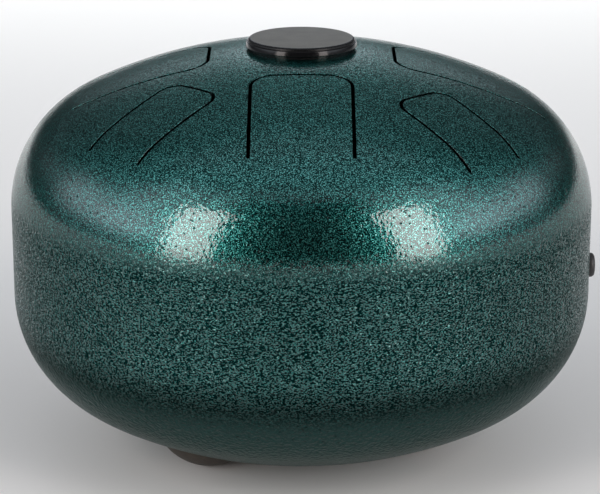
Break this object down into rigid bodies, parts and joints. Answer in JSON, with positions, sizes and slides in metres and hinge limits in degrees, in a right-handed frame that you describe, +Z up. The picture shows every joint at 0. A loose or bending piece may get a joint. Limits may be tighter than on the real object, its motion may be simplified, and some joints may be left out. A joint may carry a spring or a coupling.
{
  "type": "steel tongue drum",
  "caption": "Round hollow steel drum with radial tongues cut in its domed top, a plugged crown, a sound port below and domed rubber feet.",
  "frame": {"origin": "on the drum's axis, in the plane that its feet stand on", "axes": "+Z up along the drum's axis, -Y the front that the picture shows, +X to the right, where the side plug is"},
  "size_m": [0.2186, 0.216, 0.155],
  "materials": {
    "hammered_paint": "glossy deep green hammered paint with a fine metallic mottle",
    "plug_gloss_black": "glossy moulded black",
    "badge_grey": "matt dark grey, bare",
    "foot_rubber": "satin black rubber",
    "side_plug_black": "satin moulded black"
  },
  "bodies": {
    "drum": {"upper_shell": "hammered_paint", "lower_shell": "hammered_paint", "seam_weld": "hammered_paint", "centre_plug": "plug_gloss_black", "badge_disc": "badge_grey", "side_plug": "side_plug_black", "foot_front_left": "foot_rubber", "foot_right": "foot_rubber", "foot_back": "foot_rubber"},
    "front_tongue": {"tongue_front": "hammered_paint"},
    "right_tongue": {"tongue_right": "hammered_paint"},
    "back_tongue": {"tongue_back": "hammered_paint"},
    "left_tongue": {"tongue_left": "hammered_paint"},
    "front_right_tongue": {"tongue_front_right": "hammered_paint"},
    "back_right_tongue": {"tongue_back_right": "hammered_paint"},
    "back_left_tongue": {"tongue_back_left": "hammered_paint"},
    "front_left_tongue": {"tongue_front_left": "hammered_paint"}
  },
  "joints": [
    {"name": "front_tongue_bend", "type": "hinge", "parent": "drum", "child": "front_tongue", "pos_m": [0, -0.0842, 0.13148], "axis": [-1, 0, 0], "range_deg": [-0.8, 0.8], "stiffness_Nm_per_rad": 2, "springref_deg": -0.19},
    {"name": "right_tongue_bend", "type": "hinge", "parent": "drum", "child": "right_tongue", "pos_m": [0.0886, 0, 0.12877], "axis": [0, -1, 0], "range_deg": [-0.8, 0.8], "stiffness_Nm_per_rad": 2, "springref_deg": -0.23},
    {"name": "back_tongue_bend", "type": "hinge", "parent": "drum", "child": "back_tongue", "pos_m": [0, 0.0864, 0.13022], "axis": [1, 0, 0], "range_deg": [-0.8, 0.8], "stiffness_Nm_per_rad": 2, "springref_deg": -0.21},
    {"name": "left_tongue_bend", "type": "hinge", "parent": "drum", "child": "left_tongue", "pos_m": [-0.0834, 0, 0.1319], "axis": [0, 1, 0], "range_deg": [-0.8, 0.8], "stiffness_Nm_per_rad": 2, "springref_deg": -0.18},
    {"name": "front_right_tongue_bend", "type": "hinge", "parent": "drum", "child": "front_right_tongue", "pos_m": [0.06682, -0.06682, 0.12379], "axis": [-0.7071, -0.7071, 0], "range_deg": [-0.8, 0.8], "stiffness_Nm_per_rad": 1, "springref_deg": -0.14},
    {"name": "back_right_tongue_bend", "type": "hinge", "parent": "drum", "child": "back_right_tongue", "pos_m": [0.06604, 0.06604, 0.12487], "axis": [0.7071, -0.7071, 0], "range_deg": [-0.8, 0.8], "stiffness_Nm_per_rad": 1, "springref_deg": -0.16},
    {"name": "back_left_tongue_bend", "type": "hinge", "parent": "drum", "child": "back_left_tongue", "pos_m": [-0.06703, 0.06703, 0.12349], "axis": [0.7071, 0.7071, 0], "range_deg": [-0.8, 0.8], "stiffness_Nm_per_rad": 1, "springref_deg": -0.13},
    {"name": "front_left_tongue_bend", "type": "hinge", "parent": "drum", "child": "front_left_tongue", "pos_m": [-0.06505, -0.06505, 0.12613], "axis": [-0.7071, 0.7071, 0], "range_deg": [-0.8, 0.8], "stiffness_Nm_per_rad": 1, "springref_deg": -0.17}
  ]
}
